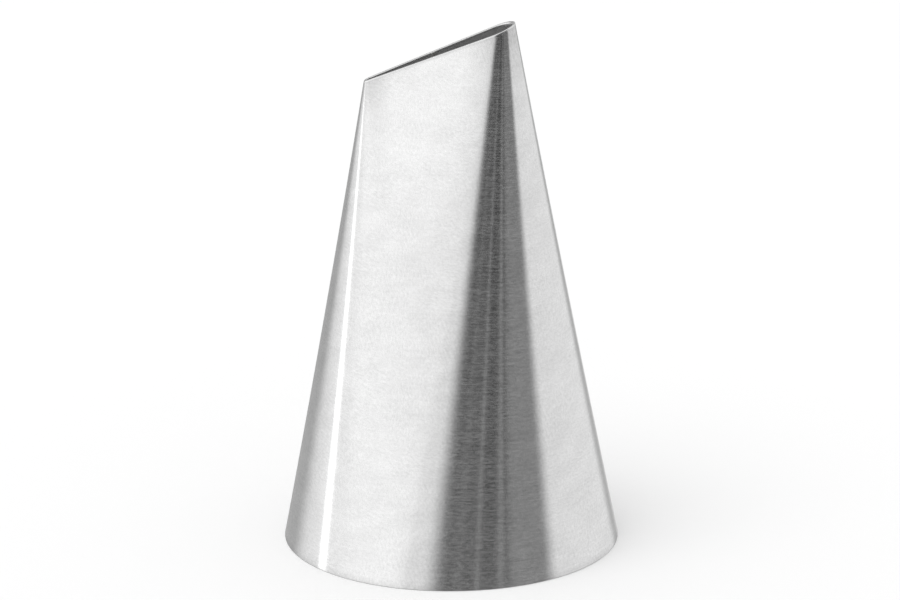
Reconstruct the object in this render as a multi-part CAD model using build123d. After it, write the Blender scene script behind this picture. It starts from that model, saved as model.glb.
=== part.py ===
from build123d import *
import os
from math import hypot, sqrt

# Petal nozzle of thin sheet, in millimetres. Its base circle stands on z = 0 round the origin, and the
# slot at its tip runs along X, with the sharp end on the -X side and the round end on the +X side.
BASE_DIAMETER = 33.0
SHEET_THICKNESS = 0.3  # measured level

# The slot is a teardrop on a slanting cut. Each end has the place of its centre and its inner width.
SHARP_END_X = -7.7
SHARP_END_HEIGHT = 46.55
SHARP_END_WIDTH = 0.6
ROUND_END_X = 4.4
ROUND_END_HEIGHT = 51.5
ROUND_END_WIDTH = 3.4

# The weld that closes the sheet runs straight up the flat on the back.
WELD_WIDTH = 0.6
WELD_CROWN = 0.05  # how proud it stands of the sheet, outside and inside
WELD_HEAD_SHARE = 0.5  # where it points between the two ends of the slot

# How far the weld's blank reaches past what trims it
OVERRUN = 2.0


def closing_point(end_x, end_height, end_radius, base_radius):
    """The tip of the oblique cone that narrows from the base circle to one end of the slot."""
    reach = base_radius / (base_radius - end_radius)
    return Vector(end_x * reach, 0, end_height * reach)


def body_corners(skin):
    """Base radius, sharp and round closing points, and front and back feet of the flats.

    They describe the surface that lies skin outside the sheet's inner face. A flat is the plane through
    both closing points that touches the base circle, and its foot is where it touches.
    """
    radius = BASE_DIAMETER / 2 - SHEET_THICKNESS + skin
    sharp = closing_point(SHARP_END_X, SHARP_END_HEIGHT, SHARP_END_WIDTH / 2 + skin, radius)
    blunt = closing_point(ROUND_END_X, ROUND_END_HEIGHT, ROUND_END_WIDTH / 2 + skin, radius)
    foot_x = radius**2 * (blunt.Z - sharp.Z) / (sharp.X * blunt.Z - blunt.X * sharp.Z)
    foot_y = sqrt(radius**2 - foot_x**2)
    return radius, sharp, blunt, Vector(foot_x, -foot_y, 0), Vector(foot_x, foot_y, 0)


def cone_side(start, middle, end, tip):
    """The part of an oblique cone over the base arc from start through middle to end."""
    arc = Edge.make_three_point_arc(start, middle, end)
    chord = Edge.make_line(end, start)
    return Solid.make_loft([Wire([arc, chord]), Vertex(*tip)], ruled=True)


def wedge(corners):
    """The four-sided solid between the two cones, whose front and back are the flats."""
    faces = []
    for left_out in corners:
        triangle = [corner for corner in corners if corner is not left_out]
        faces.append(Face(Wire.make_polygon(triangle)))
    return Solid(Shell(faces))


def pressed_body(skin):
    """The whole closed shape up to both closing points, before the slanting cut."""
    radius, sharp, blunt, front_foot, back_foot = body_corners(skin)
    sharp_side = cone_side(back_foot, Vector(-radius, 0, 0), front_foot, sharp)
    round_side = cone_side(front_foot, Vector(radius, 0, 0), back_foot, blunt)
    return wedge([front_foot, back_foot, sharp, blunt]) + sharp_side + round_side


def slot_plane():
    """The slanting cut through the centres of the slot's two ends, facing up."""
    run = ROUND_END_X - SHARP_END_X
    rise = ROUND_END_HEIGHT - SHARP_END_HEIGHT
    return Plane(
        origin=(SHARP_END_X, 0, SHARP_END_HEIGHT), x_dir=(run, 0, rise), z_dir=(-rise, 0, run)
    )


def below_the_cut(body):
    return split(body, bisect_by=slot_plane(), keep=Keep.BOTTOM)


def weld_bar():
    """The weld's whole section carried along the seam, past the base and past the slot.

    The section is as thick as the sheet between the seam's edges and crowned on both faces.
    """
    _, sharp, blunt, _, foot = body_corners(SHEET_THICKNESS)
    head = sharp + (blunt - sharp) * WELD_HEAD_SHARE
    along = (head - foot).normalized()
    outward = (sharp - foot).cross(blunt - foot).normalized()
    depth = SHEET_THICKNESS * hypot(outward.X, outward.Y)
    edge = WELD_WIDTH / 2
    section = make_face(
        [
            ThreePointArc((-edge, 0), (0, WELD_CROWN), (edge, 0)),
            Line((edge, 0), (edge, -depth)),
            ThreePointArc((edge, -depth), (0, -depth - WELD_CROWN), (-edge, -depth)),
            Line((-edge, -depth), (-edge, 0)),
        ]
    )
    start = Plane(origin=foot - along * OVERRUN, x_dir=outward.cross(along), z_dir=along)
    return extrude(start * section, amount=(head - foot).length + OVERRUN)


def nozzle_shell():
    """The rolled and pressed sheet, open at the base, at the slot and along the seam."""
    sheet = below_the_cut(pressed_body(SHEET_THICKNESS))
    return sheet - pressed_body(0) - weld_bar()


def seam_weld():
    """The bead that fills the seam, cut off level with the base and with the slot."""
    return below_the_cut(split(weld_bar(), bisect_by=Plane.XY, keep=Keep.TOP))


os.makedirs("parts", exist_ok=True)
export_step(nozzle_shell(), "parts/nozzle_shell.step")
export_step(seam_weld(), "parts/seam_weld.step")
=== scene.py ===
import bpy
import numpy as np
from mathutils import Matrix, Vector


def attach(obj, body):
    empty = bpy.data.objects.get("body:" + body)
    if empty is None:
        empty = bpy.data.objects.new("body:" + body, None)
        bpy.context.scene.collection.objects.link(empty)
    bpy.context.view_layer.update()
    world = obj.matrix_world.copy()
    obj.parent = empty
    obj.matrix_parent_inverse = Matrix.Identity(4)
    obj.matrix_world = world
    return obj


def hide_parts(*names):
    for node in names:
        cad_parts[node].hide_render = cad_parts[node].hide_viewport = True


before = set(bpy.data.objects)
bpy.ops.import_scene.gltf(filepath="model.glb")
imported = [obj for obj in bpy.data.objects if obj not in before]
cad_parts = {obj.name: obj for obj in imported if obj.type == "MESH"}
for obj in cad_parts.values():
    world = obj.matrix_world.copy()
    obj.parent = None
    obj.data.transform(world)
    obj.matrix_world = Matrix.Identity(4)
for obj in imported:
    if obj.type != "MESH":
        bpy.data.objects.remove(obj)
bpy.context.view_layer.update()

# The sheet. One blank of 0.3 mm stainless steel, rolled to a cone, welded down the back, and pressed at
# its tip until it closes to a slanting teardrop slot. The outside is brushed while the nozzle turns on a
# spindle, so fine lines run round it. The inside keeps its duller rolled skin.
MM = 0.001  # one millimetre in metres; the sizes below are in millimetres
BASE_RADIUS = 16.5
SHEET = 0.3
SHARP_X, SHARP_HEIGHT = -7.7, 46.55  # the centre of the slot's sharp end
SHARP_ALONG, SHARP_ACROSS = 0.3, 0.3  # how far that end reaches inside, along the slot and across it
ROUND_X, ROUND_HEIGHT = 4.66, 51.6  # its round end, which is a slightly blunt oval
ROUND_ALONG, ROUND_ACROSS = 1.44, 1.68
PRESS_HEIGHT = 50.0  # where the softness of the flats' edges is measured
SOFTNESS = 0.07  # how far the pressed flats run out into the cones there
WAIST = 0.14  # how far the sides bend in half way up
SLOT_ROUNDING, BASE_ROUNDING = 0.15, 0.05  # how far the cut edges there are rounded by deburring
WELD_SHARE = 0.47  # the place of the weld on the back flat, from the round end (0) to the sharp one (1)
PAINTED_SHEEN_START, PAINTED_SHEEN_FADE = 30.0, 14.0  # where the painted sheen that lightens the flats starts, and how far it takes to grow
WEAR_AND_SHADE_REACH = 6.0  # how far the painted shade at the slot's two ends, and the wear at its sharp end, runs out
SCUFF_AND_SHADE_HEIGHT = 0.7  # how far up the base is scuffed matt and painted darker, a painted shade
DULLED_HEIGHT = 48.0  # how far up the haze from handling fades out
FLAT_COLUMNS, SHARP_COLUMNS, ROUND_COLUMNS = 41, 120, 160  # of the mesh, across a flat and round each end
FOOT_ROWS, OUTSIDE_ROWS, INSIDE_ROWS, RIM_ROWS = 9, 60, 36, 11

cut_slope = (ROUND_HEIGHT - SHARP_HEIGHT) / (ROUND_X - SHARP_X)
cut_height = SHARP_HEIGHT - cut_slope * SHARP_X


def lean(angle, end_x, end_height, along, across):
    """How far the cone of one end leans in per millimetre of height, and how that changes with the angle.

    A tangent to the section at the given angle lies BASE_RADIUS from the axis at the base. At the height
    of the slot's end it lies end_x * cos(angle) + oval + SHEET from it, where oval is the root of
    (along * cos(angle))^2 + (across * sin(angle))^2. It moves evenly between them.
    """
    cos, sin = np.cos(angle), np.sin(angle)
    oval = np.hypot(along * cos, across * sin)
    value = (end_x * cos + oval + SHEET - BASE_RADIUS) / end_height
    return value, (-end_x * sin + (across ** 2 - along ** 2) * sin * cos / oval) / end_height


def skin(angle):
    """The lean of the whole outer skin at each angle, its change with the angle, and the sharp end's share.

    The skin follows whichever cone stands further out. Where both are level the sheet is flat, and a
    soft maximum, SOFTNESS * log(sum of exp(reach / SOFTNESS)), runs the flat into the cones.
    """
    sharp, sharp_change = lean(angle, SHARP_X, SHARP_HEIGHT, SHARP_ALONG, SHARP_ACROSS)
    blunt, blunt_change = lean(angle, ROUND_X, ROUND_HEIGHT, ROUND_ALONG, ROUND_ACROSS)
    grain = SOFTNESS / PRESS_HEIGHT
    whole = grain * np.logaddexp(sharp / grain, blunt / grain)
    share = np.exp((sharp - whole) / grain)
    return whole, share * sharp_change + (1 - share) * blunt_change, share


def flat_angles(shares):
    """The angles, on the back flat, at which the sharp end has the given shares of the soft maximum.

    The share grows steadily from the round end to the sharp one, so it is read backwards.
    """
    half_turn = np.linspace(0, np.pi, 40001)
    return np.interp(shares, skin(half_turn)[2], half_turn)


def wall_point(angle, up, depth=0.0, foot=0.0, head=0.0):
    """Points of the wall, depth under the outer skin, at a share of the way up each ruling.

    Each angle has one straight ruling: (reach cos - reach' sin, reach sin + reach' cos), where reach is
    BASE_RADIUS + lean * height. It starts foot above the base and ends head below the slanting cut. A
    parabola then bends it in by WAIST half way up.
    """
    cos, sin = np.cos(angle), np.sin(angle)
    inward, change, _ = skin(angle)
    run_x, run_y = inward * cos - change * sin, inward * sin + change * cos
    top = (cut_height - head + cut_slope * (BASE_RADIUS - depth) * cos) / (1 - cut_slope * run_x)
    z = foot + (top - foot) * up
    radius = BASE_RADIUS - depth - WAIST * 4 * up * (1 - up)
    return np.stack([radius * cos + run_x * z, radius * sin + run_y * z, z], axis=-1)


def evenly(start, stop, count):
    """Shares from start to stop, with one extra close to each end so that a rim shades cleanly."""
    inner = np.linspace(start, stop, count)
    nip = (stop - start) * 0.004
    return np.concatenate([inner[:1], [start + nip], inner[1:-1], [stop - nip], inner[-1:]])


def rim(outer, inner, rise, squareness=0.8):
    """A rounded cut edge from the outer to the inner skin.

    It is a superellipse that rises by rise between them: cos and sin to the power of squareness.
    """
    turn = np.linspace(0, np.pi, RIM_ROWS + 2)[1:-1, None, None]
    across = (1 - np.sign(np.cos(turn)) * np.abs(np.cos(turn)) ** squareness) / 2
    points = outer + (inner - outer) * across
    points[..., 2] += (rise * np.sin(turn) ** squareness)[..., 0]
    return points


def make_mesh(name, points, faces, finishes=None, flat_map=None):
    """A smooth-shaded mesh object from arrays of points and faces, with finish numbers and a map."""
    mesh = bpy.data.meshes.new(name)
    mesh.from_pydata(points.reshape(-1, 3) * MM, [], faces)
    mesh.polygons.foreach_set("use_smooth", np.ones(len(mesh.polygons), bool))
    if finishes is not None:
        mesh.polygons.foreach_set("material_index", finishes.astype(np.int32))
    if flat_map is not None:
        mesh.uv_layers.new(name="unrolled").data.foreach_set("uv", flat_map.astype(np.float32).ravel())
    mesh.update()
    piece = bpy.data.objects.new(name, mesh)
    bpy.context.scene.collection.objects.link(piece)
    return piece


def sheet_shell():
    """The sheet as one closed skin: up the outside, over the slot, down the inside and under the base.

    Columns are rulings, round from the weld; across a flat they stand at even shares of the soft maximum.
    The map unrolled is the distance round from the weld and the height, in metres. Five attributes run
    from 0 to 1: a painted sheen where the flats near the slot are painted lighter, painted shade at the
    slot's round end, wear and painted shade at its sharp end, a scuff and painted shade along the base
    edge, and a dulling towards the base, where the nozzle is held.
    """
    spread = np.linspace(0.01, 0.99, FLAT_COLUMNS)
    clear = 0.01  # no other column stands closer than this to the weld's
    onto_round, onto_sharp = flat_angles(spread[[0, -1]])
    angle = np.concatenate([
        flat_angles(np.array([WELD_SHARE])),
        flat_angles(spread[spread > WELD_SHARE + clear]),
        np.linspace(onto_sharp, 2 * np.pi - onto_sharp, SHARP_COLUMNS)[1:-1],
        2 * np.pi - flat_angles(spread[::-1]),
        np.linspace(2 * np.pi - onto_round, 2 * np.pi + onto_round, ROUND_COLUMNS)[1:-1],
        2 * np.pi + flat_angles(spread[spread < WELD_SHARE - clear]),
    ])
    foot = np.linspace(0, 0.011, FOOT_ROWS)  # close rows, so that the scuffed and painted-darker base edge shades cleanly
    up_out = np.concatenate([foot, evenly(0.012, 1, OUTSIDE_ROWS)])[:, None]
    up_in = evenly(1, 0, INSIDE_ROWS)[:, None]
    outside = wall_point(angle, up_out, 0.0, BASE_ROUNDING, SLOT_ROUNDING)
    inside = wall_point(angle, up_in, SHEET, BASE_ROUNDING, SLOT_ROUNDING)
    slot_edge = rim(outside[-1], inside[0], SLOT_ROUNDING)
    base_edge = rim(inside[-1], outside[0], -BASE_ROUNDING)
    points = np.concatenate([outside, slot_edge, inside, base_edge])
    rows, columns = points.shape[:2]
    row, column = np.meshgrid(np.arange(rows), np.arange(columns), indexing="ij")
    next_row, next_column = (row + 1) % rows, (column + 1) % columns
    corners = np.stack([row * columns + column, row * columns + next_column,
                        next_row * columns + next_column, next_row * columns + column], axis=-1)
    bands = np.cumsum([len(outside) - 1, len(slot_edge) + 1, len(inside) - 1])
    finishes = np.array([0, 2, 1, 2])[np.searchsorted(bands, np.arange(rows), side="right")]
    paces = np.linalg.norm(np.roll(points, -1, axis=1) - points, axis=2)
    around = np.concatenate([np.zeros((rows, 1)), np.cumsum(paces, axis=1)], axis=1) * MM
    height = points[..., 2] * MM
    flat_map = np.stack([
        np.stack([around[row, column], height[row, column]], axis=-1),
        np.stack([around[row, column + 1], height[row, next_column]], axis=-1),
        np.stack([around[next_row, column + 1], height[next_row, next_column]], axis=-1),
        np.stack([around[next_row, column], height[next_row, column]], axis=-1),
    ], axis=2)
    piece = make_mesh("pressed_sheet", points, corners.reshape(-1, 4).tolist(),
                      np.repeat(finishes, columns), flat_map)
    share = skin(angle)[2]
    round_tip = (ROUND_X + ROUND_ALONG, 0, ROUND_HEIGHT + cut_slope * ROUND_ALONG)
    sharp_tip = (SHARP_X - SHARP_ALONG, 0, SHARP_HEIGHT - cut_slope * SHARP_ALONG)
    flat = np.minimum(1, 6 * share * (1 - share))  # 1 on the flats, 0 round the ends
    # Four of these masks carry painted light: a painted sheen on the flats, and painted shade at the slot's
    # two ends and along the base edge.
    masks = {
        "painted_flat_sheen": flat * np.clip((points[..., 2] - PAINTED_SHEEN_START) / PAINTED_SHEEN_FADE, 0, 1),
        "painted_shade_round_end": np.clip(1 - np.linalg.norm(points - round_tip, axis=-1) / WEAR_AND_SHADE_REACH, 0, 1),
        "worn_and_shaded_sharp_end": np.clip(1 - np.linalg.norm(points - sharp_tip, axis=-1) / WEAR_AND_SHADE_REACH, 0, 1),
        "scuffed_and_shaded": np.clip(1 - points[..., 2] / SCUFF_AND_SHADE_HEIGHT, 0, 1),
        "dulled": np.clip(1 - points[..., 2] / DULLED_HEIGHT, 0, 1),
    }
    for name, strength in masks.items():
        piece.data.attributes.new(name, "FLOAT", "POINT").data.foreach_set("value", strength.ravel())
    return piece


def linear(colour):
    """An sRGB hex colour as linear red, green, blue and a full alpha."""
    part = np.array([int(colour[i:i + 2], 16) for i in (1, 3, 5)]) / 255
    return (*np.where(part <= 0.04045, part / 12.92, ((part + 0.055) / 1.055) ** 2.4), 1.0)


def add(tree, kind, inputs=(), **settings):
    """Adds a node with its settings, and gives each named or numbered input a value or a link."""
    node = tree.nodes.new(kind)
    for name, value in settings.items():
        setattr(node, name, value)
    for name, value in dict(inputs).items():
        if isinstance(value, bpy.types.NodeSocket):
            tree.links.new(value, node.inputs[name])
        else:
            node.inputs[name].default_value = value
    return node


def new_finish(name):
    """An empty material, its node tree and its output."""
    finish = bpy.data.materials.new(name)
    finish.use_nodes = True
    finish.node_tree.nodes.clear()
    return finish, finish.node_tree, add(finish.node_tree, "ShaderNodeOutputMaterial")


def brushed_stainless():
    """Stainless steel brushed on a spindle.

    The lines run round the cone, so a reflection stays sharp sideways and is drawn out up and down. That
    is the anisotropy. The deepest scratches, and the haze from handling towards the base, scatter a little
    light all ways. It shows where the steel mirrors something dark, so the metal is slightly matt there.
    """
    finish, tree, output = new_finish("brushed_stainless")
    unrolled = add(tree, "ShaderNodeUVMap", uv_map="unrolled").outputs["UV"]

    def marks(length, height, detail, seed, turn=0):
        """Noise in streaks of this length and height in millimetres, turned down to the right in degrees."""
        place = add(tree, "ShaderNodeMapping", {
            "Vector": unrolled, "Location": (seed, seed * 0.7, 0.0),
            "Rotation": (0, 0, np.radians(-turn)), "Scale": (length * MM, height * MM, 1.0),
        }, vector_type="TEXTURE")
        return add(tree, "ShaderNodeTexNoise", {
            "Vector": place.outputs["Vector"], "Scale": 1.0, "Detail": detail, "Roughness": 0.6,
        }, noise_dimensions="2D").outputs["Fac"]

    def spread_to(value, low, high, to_low, to_high):
        """The value moved evenly from one range to another, and held at its ends."""
        return add(tree, "ShaderNodeMapRange", {
            "Value": value, "From Min": low, "From Max": high, "To Min": to_low, "To Max": to_high,
        }).outputs["Result"]

    def total(first, second):
        """Two values added."""
        return add(tree, "ShaderNodeMath", {0: first, 1: second}, operation="ADD").outputs["Value"]

    def masked(name, strength, start=0.0):
        """One of the sheet's masks, from nothing at the start to the strength where it is full."""
        value = add(tree, "ShaderNodeAttribute", attribute_name=name).outputs["Fac"]
        return spread_to(value, start, 1.0, 0.0, strength)

    hairlines = marks(6.0, 0.2, 3.0, 0.31)  # the brush's grit, real lines 0.05 mm apart, drawn coarser
    patches = marks(4.0, 2.2, 3.0, 0.59)  # uneven pressure of the brush
    steeper = spread_to(marks(9.0, 7.0, 1.0, 0.83), 0.42, 0.58, 0.0, 1.0)  # where the brush ran downward
    dashes = add(tree, "ShaderNodeMix", {  # short scratches, broken up by the next turns
        0: steeper, 2: marks(0.6, 0.19, 2.0, 0.17, 16), 3: marks(0.5, 0.19, 2.0, 0.47, 42)}).outputs[0]
    scratches = total(marks(2.6, 0.13, 2.0, 0.71, 2), marks(0.6, 0.14, 1.0, 0.37, 2))  # the deepest ones
    matt = total(spread_to(scratches, 0.8, 1.2, 0.0, 0.085),
                 total(masked("scuffed_and_shaded", 0.05), masked("dulled", 0.05)))
    # Beside the random marks of the brush, the tone holds painted light: the flats near the slot are painted
    # lighter, a painted reflection, and the slot's two ends and the base edge are painted darker, painted
    # shade.
    tone = total(total(spread_to(hairlines, 0.3, 0.7, -0.5, 0.5), spread_to(patches, 0.3, 0.7, -0.9, 0.9)),
                 total(spread_to(dashes, 0.2, 0.8, -2.0, 2.0), masked("painted_flat_sheen", 2.4)))
    tone = total(total(tone, masked("scuffed_and_shaded", -4.0)),
                 total(masked("painted_shade_round_end", -6.0), masked("worn_and_shaded_sharp_end", -2.0, 0.5)))
    colour = add(tree, "ShaderNodeMix", {
        0: spread_to(tone, -12.5, 6.0, 0.0, 1.0), 6: linear("#A0A0A0"), 7: linear("#FFFFFF"),
    }, data_type="RGBA").outputs[2]
    roughness = total(total(spread_to(hairlines, 0.3, 0.7, 0.15, 0.18),
                            spread_to(patches, 0.3, 0.7, -0.01, 0.01)), masked("worn_and_shaded_sharp_end", 0.16))
    bump = add(tree, "ShaderNodeBump", {
        "Strength": 0.3, "Distance": 0.00002, "Height": hairlines})
    steel = add(tree, "ShaderNodeBsdfPrincipled", {
        "Base Color": colour, "Metallic": spread_to(matt, 0.0, 1.0, 1.0, 0.0), "Roughness": roughness,
        "Anisotropic": 1.0, "Anisotropic Rotation": 0.25, "Normal": bump.outputs["Normal"],
    })
    tree.links.new(steel.outputs["BSDF"], output.inputs["Surface"])
    return finish


def rolled_stainless():
    """The inside of the sheet: cold-rolled skin, never brushed, with a grey even haze and faint marks."""
    finish, tree, output = new_finish("rolled_stainless")
    place = add(tree, "ShaderNodeTexCoord").outputs["Object"]
    haze = add(tree, "ShaderNodeTexNoise", {"Vector": place, "Scale": 420.0, "Detail": 4.0})
    colour = add(tree, "ShaderNodeMix", {
        0: haze.outputs["Fac"], 6: linear("#C2C2C2"), 7: linear("#D3D3D3"),
    }, data_type="RGBA").outputs[2]
    roughness = add(tree, "ShaderNodeMapRange", {
        "Value": haze.outputs["Fac"], "To Min": 0.3, "To Max": 0.46}).outputs["Result"]
    bump = add(tree, "ShaderNodeBump", {
        "Strength": 0.2, "Distance": 0.00002, "Height": haze.outputs["Fac"]})
    steel = add(tree, "ShaderNodeBsdfPrincipled", {
        "Base Color": colour, "Metallic": 1.0, "Roughness": roughness, "Normal": bump.outputs["Normal"]})
    tree.links.new(steel.outputs["BSDF"], output.inputs["Surface"])
    return finish


def cut_stainless():
    """The sheared and deburred edge of the sheet: bright fresh metal with fine grinding grain."""
    finish, tree, output = new_finish("cut_stainless")
    place = add(tree, "ShaderNodeTexCoord").outputs["Object"]
    grain = add(tree, "ShaderNodeTexNoise", {"Vector": place, "Scale": 6000.0, "Detail": 2.0})
    colour = add(tree, "ShaderNodeMix", {
        0: grain.outputs["Fac"], 6: linear("#DEDEDE"), 7: linear("#F4F4F4"),
    }, data_type="RGBA").outputs[2]
    bump = add(tree, "ShaderNodeBump", {
        "Strength": 0.3, "Distance": 0.00001, "Height": grain.outputs["Fac"]})
    steel = add(tree, "ShaderNodeBsdfPrincipled", {
        "Base Color": colour, "Metallic": 1.0, "Roughness": 0.3, "Normal": bump.outputs["Normal"]})
    tree.links.new(steel.outputs["BSDF"], output.inputs["Surface"])
    return finish


sheet = sheet_shell()
for finish in (brushed_stainless(), rolled_stainless(), cut_stainless()):
    sheet.data.materials.append(finish)
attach(sheet, "root")
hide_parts("nozzle_shell")

# The weld. A bead of the sheet's own metal that closes it from the base to the slot, up the middle of
# the back flat. It is welded by machine and dressed, so it stands only 0.05 mm proud on both faces, and
# the fine ripples of the moving pool still show in it.
WELD_WIDTH = 0.6
WELD_CROWN = 0.05
RIPPLE_PITCH = 0.5
RIPPLE_HEIGHT = 0.006
RIPPLE_BOW = 0.25  # how far each ripple bows towards the slot
FOOT_INSET, HEAD_INSET = 0.02, 0.12  # how far its ends stand back under the sheet's rounded edges
BEAD_ROWS, BEAD_COLUMNS = 600, 28  # of the mesh


def weld_bead():
    """The bead as a rounded bar along its ruling, closed at both ends.

    Its section is a superellipse as wide as the weld and as deep as the sheet and both crowns, laid level
    across the ruling of the sheet that it follows. The crown rises and falls as a sine along the bead, and
    each ripple bows towards the slot in the middle.
    """
    angle = flat_angles(np.array([WELD_SHARE]))
    inward, change, _ = skin(angle)
    run_x = inward * np.cos(angle) - change * np.sin(angle)
    run_y = inward * np.sin(angle) + change * np.cos(angle)
    up = np.linspace(0, 1, BEAD_ROWS)[:, None]
    turn = np.linspace(0, 2 * np.pi, BEAD_COLUMNS, endpoint=False)[None, :]
    squareness = 0.6  # the power in the superellipse
    side = np.sign(np.cos(turn)) * np.abs(np.cos(turn)) ** squareness
    lift = np.sign(np.sin(turn)) * np.abs(np.sin(turn)) ** squareness
    along = wall_point(angle, up)[..., 2] + RIPPLE_BOW * side ** 2
    ripple = RIPPLE_HEIGHT * np.sin(2 * np.pi * along / RIPPLE_PITCH)
    outward = (SHEET / 2 + WELD_CROWN - RIPPLE_HEIGHT + ripple) * lift - SHEET / 2
    sideways = WELD_WIDTH / 2 * side[..., None] * np.stack([-np.sin(angle), np.cos(angle), 0 * angle], -1)
    rise = up * cut_slope * sideways[..., 0] / (1 - cut_slope * run_x)  # keeps the head on the slanting cut
    points = wall_point(angle, up, -outward, FOOT_INSET, HEAD_INSET) + sideways
    points = points + rise[..., None] * np.stack([run_x, run_y, 1 + 0 * run_x], axis=-1)
    rows, columns = points.shape[:2]
    row, column = np.meshgrid(np.arange(rows - 1), np.arange(columns), indexing="ij")
    after = (column + 1) % columns
    faces = np.stack([row * columns + column, row * columns + after,
                      (row + 1) * columns + after, (row + 1) * columns + column], axis=-1)
    ends = [list(range(columns))[::-1], list(range((rows - 1) * columns, rows * columns))]
    return make_mesh("weld_bead", points, faces.reshape(-1, 4).tolist() + ends)


def welded_stainless():
    """Dressed weld metal: greyer and duller than the sheet, with a faint straw tint from the heat."""
    finish, tree, output = new_finish("welded_stainless")
    place = add(tree, "ShaderNodeTexCoord").outputs["Object"]
    tint = add(tree, "ShaderNodeTexNoise", {"Vector": place, "Scale": 700.0, "Detail": 3.0})
    colour = add(tree, "ShaderNodeMix", {
        0: tint.outputs["Fac"], 6: linear("#BDBCBA"), 7: linear("#D6D5D2"),
    }, data_type="RGBA").outputs[2]
    roughness = add(tree, "ShaderNodeMapRange", {
        "Value": tint.outputs["Fac"], "To Min": 0.3, "To Max": 0.5}).outputs["Result"]
    steel = add(tree, "ShaderNodeBsdfPrincipled", {
        "Base Color": colour, "Metallic": 1.0, "Roughness": roughness})
    tree.links.new(steel.outputs["BSDF"], output.inputs["Surface"])
    return finish


bead = weld_bead()
bead.data.materials.append(welded_stainless())
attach(bead, "root")
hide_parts("seam_weld")

# The floor. A matt pale board that the nozzle stands on. The steel doesn't mirror it, so the reflections
# stay those of the studio.


def board(name, radius, height, colour, corners=96):
    """A round matt board: one face whose corners stand evenly round a circle at one height."""
    turn = np.linspace(0, 2 * np.pi, corners, endpoint=False)
    points = np.stack([radius * np.cos(turn), radius * np.sin(turn), np.full(corners, height)], axis=-1)
    piece = make_mesh(name, points, [list(range(corners))])
    finish, tree, output = new_finish(name + "_paint")
    paint = add(tree, "ShaderNodeBsdfDiffuse", {"Color": linear(colour)})
    tree.links.new(paint.outputs["BSDF"], output.inputs["Surface"])
    piece.data.materials.append(finish)
    return piece


floor = board("floor", 4000.0, -0.01, "#F2F2F2")
floor.visible_glossy = False

# The light. A bright white studio all round, which fills the shadows, and one wide soft lamp overhead.
# The steel mirrors white walls that are dimmer behind the nozzle, a tall dark screen with folds in it at
# the right of the camera, a narrow bright light at the left, and a white ceiling.
WALLS = 0.45  # brightness where no card hangs, which is straight behind the nozzle
# Each card has its edges and its brightness, and hangs over what is before it in the list. The edges are
# in degrees round from the front to the right: where the left one starts and is full, and where the right
# one starts to fade and is gone.
CARDS = [
    ((-178, -150, -110, -100), 0.41), ((164, 172, 174, 180), 0.8), ((130, 140, 164, 174), 0.44),
    ((-136, -111, 145, 161), 0.88), ((-114, -96, -44, -20), 1.015), ((-30, -18, 80, 112), 0.84),
    ((-84, -64, -33.5, -28), 1.11), ((-98, -96.2, -90.6, -88.6), 1.7), ((-19, -2.5, 68.5, 82), 0.193),
    ((-9, 2, 34, 51), 0.076), ((4, 6, 8.5, 11), 0.107), ((18.3, 20, 20.8, 23), 0.17),
    ((23.5, 25.5, 31, 34), 0.053), ((34, 36.2, 38, 40), 0.178), ((39.3, 40.6, 41.6, 43.2), 0.085),
]
NEAR_FLOOR = 0.52  # brightness of the floor close to the nozzle
CEILING = 1.0
FILLING = 0.8  # brightness of the studio for everything that isn't a mirror
world = bpy.data.worlds.new("studio")
bpy.context.scene.world = world
world.use_nodes = True
tree = world.node_tree
tree.nodes.clear()
way = add(tree, "ShaderNodeSeparateXYZ", {0: add(tree, "ShaderNodeTexCoord").outputs["Generated"]})
behind = add(tree, "ShaderNodeMath", {0: way.outputs["Y"], 1: -1.0}, operation="MULTIPLY")
turn = add(tree, "ShaderNodeMath", {0: way.outputs["X"], 1: behind.outputs["Value"]}, operation="ARCTAN2")
brightness = WALLS
for edges, card in CARDS:
    start, full, fade, gone = np.radians(edges)
    rises = add(tree, "ShaderNodeMapRange", {
        "Value": turn.outputs["Value"], "From Min": start, "From Max": full}, interpolation_type="SMOOTHSTEP")
    falls = add(tree, "ShaderNodeMapRange", {
        "Value": turn.outputs["Value"], "From Min": fade, "From Max": gone, "To Min": 1.0, "To Max": 0.0,
    }, interpolation_type="SMOOTHSTEP")
    cover = add(tree, "ShaderNodeMath", {0: rises.outputs[0], 1: falls.outputs[0]}, operation="MULTIPLY")
    brightness = add(tree, "ShaderNodeMix", {0: cover.outputs[0], 2: brightness, 3: card}).outputs[0]
level = add(tree, "ShaderNodeMapRange", {
    "Value": way.outputs["Z"], "From Min": -0.6, "From Max": -0.2}, interpolation_type="SMOOTHSTEP")
overhead = add(tree, "ShaderNodeMapRange", {
    "Value": way.outputs["Z"], "From Min": 0.7, "From Max": 0.9}, interpolation_type="SMOOTHSTEP")
walls = add(tree, "ShaderNodeMix", {0: level.outputs[0], 2: NEAR_FLOOR, 3: brightness})
walls = add(tree, "ShaderNodeMix", {0: overhead.outputs[0], 2: walls.outputs[0], 3: CEILING})
path = add(tree, "ShaderNodeLightPath")
seen = add(tree, "ShaderNodeMath", {
    0: path.outputs["Is Camera Ray"], 1: path.outputs["Is Transmission Ray"]}, operation="MAXIMUM")
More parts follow.
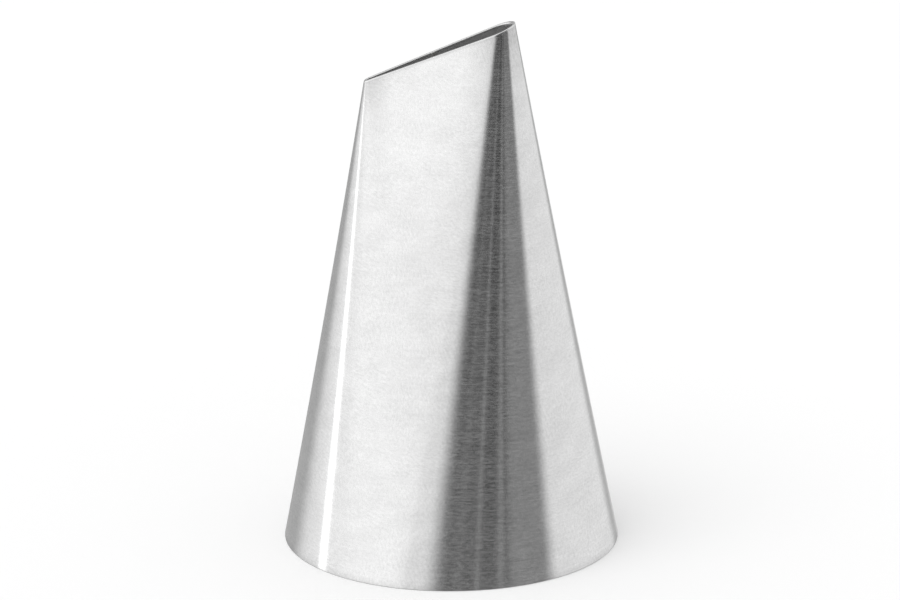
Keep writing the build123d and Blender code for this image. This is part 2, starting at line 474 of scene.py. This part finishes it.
white = add(tree, "ShaderNodeBackground", {"Color": (1.0, 1.0, 1.0, 1.0), "Strength": 1.0})
mirrored = add(tree, "ShaderNodeBackground", {"Color": (1.0, 1.0, 1.0, 1.0), "Strength": walls.outputs[0]})
filling = add(tree, "ShaderNodeBackground", {"Color": (1.0, 1.0, 1.0, 1.0), "Strength": FILLING})
lit = add(tree, "ShaderNodeMixShader", {
    0: path.outputs["Is Glossy Ray"], 1: filling.outputs[0], 2: mirrored.outputs[0]})
shown = add(tree, "ShaderNodeMixShader", {0: seen.outputs["Value"], 1: lit.outputs[0], 2: white.outputs[0]})
tree.links.new(shown.outputs[0], add(tree, "ShaderNodeOutputWorld").inputs["Surface"])

lamp = bpy.data.objects.new("overhead_lamp", bpy.data.lights.new("overhead_lamp", "SUN"))
lamp.data.energy = 1.15
lamp.data.angle = np.radians(50)
lamp.rotation_euler = (np.radians(18), np.radians(-14), 0)
lamp.visible_glossy = False
bpy.context.scene.collection.objects.link(lamp)

# The camera. A long lens at half a metre, a little above the nozzle and turned slightly to its right.
TURN, RISE, TILT, DISTANCE = np.radians(4), np.radians(17.555), np.radians(-0.168), 0.5
AIM_ASIDE, AIM_HEIGHT = -0.0716, 24.176  # the point it looks at, beside the axis and up, in millimetres
back = Vector((np.sin(TURN) * np.cos(RISE), -np.cos(TURN) * np.cos(RISE), np.sin(RISE)))
sideways = Vector((np.cos(TURN), np.sin(TURN), 0))
right = np.cos(TILT) * sideways + np.sin(TILT) * back.cross(sideways)
aim = AIM_ASIDE * MM * sideways + Vector((0, 0, AIM_HEIGHT * MM))
camera = bpy.data.objects.new("camera", bpy.data.cameras.new("camera"))
camera.data.lens = 204.5
camera.data.sensor_width = 36
camera.data.clip_start = 0.01
turned = Matrix((right, back.cross(right), back)).transposed().to_4x4()
camera.matrix_world = Matrix.Translation(aim + back * DISTANCE) @ turned
bpy.context.scene.collection.objects.link(camera)
bpy.context.scene.camera = camera

bpy.context.scene.view_settings.view_transform = "Standard"
